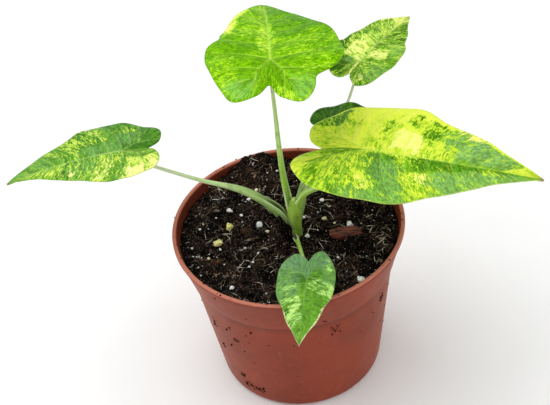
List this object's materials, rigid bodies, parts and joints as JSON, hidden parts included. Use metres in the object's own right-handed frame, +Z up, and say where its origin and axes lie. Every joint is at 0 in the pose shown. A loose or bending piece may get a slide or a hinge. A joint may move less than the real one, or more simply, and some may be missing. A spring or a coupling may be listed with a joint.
{
  "type": "potted variegated alocasia gageana",
  "caption": "Young potted aroid with lime and green variegated heart-shaped leaves on long stalks, in a tapered terracotta-coloured nursery pot of soil.",
  "frame": {"origin": "middle of the pot's underside, on the surface that it stands on", "axes": "+Z up, +Y away from the front, +X to the right seen from the front"},
  "size_m": [0.255, 0.1715, 0.1923],
  "materials": {
    "pot_plastic": "thin moulded terracotta-coloured plastic with a soft sheen",
    "potting_soil": "moist dark peat and coir with fibres and perlite",
    "stem": "smooth green stem",
    "stalk": "smooth pale green leaf stalk",
    "leaf_bright_green": "soft satin leaf with fine lime flecks",
    "leaf_lime": "satin leaf in lime yellow with green streaks",
    "leaf_mottled": "satin leaf mottled in greens and cream",
    "leaf_dark_green": "satin dark green leaf",
    "feed_grain": "dull yellow grain",
    "perlite": "porous white grain",
    "bark": "rough reddish-brown bark"
  },
  "bodies": {
    "root": {"pot": "pot_plastic", "soil": "potting_soil", "crown_and_roots": "stem", "stalk_top": "stalk", "stalk_right": "stalk", "stalk_left": "stalk", "stalk_back": "stalk", "stalk_dark": "stalk", "stalk_front": "stalk", "blade_top": "leaf_bright_green", "blade_right": "leaf_lime", "blade_left": "leaf_mottled", "blade_back": "leaf_mottled", "blade_dark": "leaf_dark_green", "blade_front": "leaf_mottled", "feed_grain_front": "feed_grain", "feed_grain_back": "feed_grain", "perlite_left": "perlite", "perlite_middle": "perlite", "perlite_crown": "perlite", "perlite_right": "perlite", "perlite_front": "perlite", "bark_chip": "bark"}
  },
  "joints": []
}
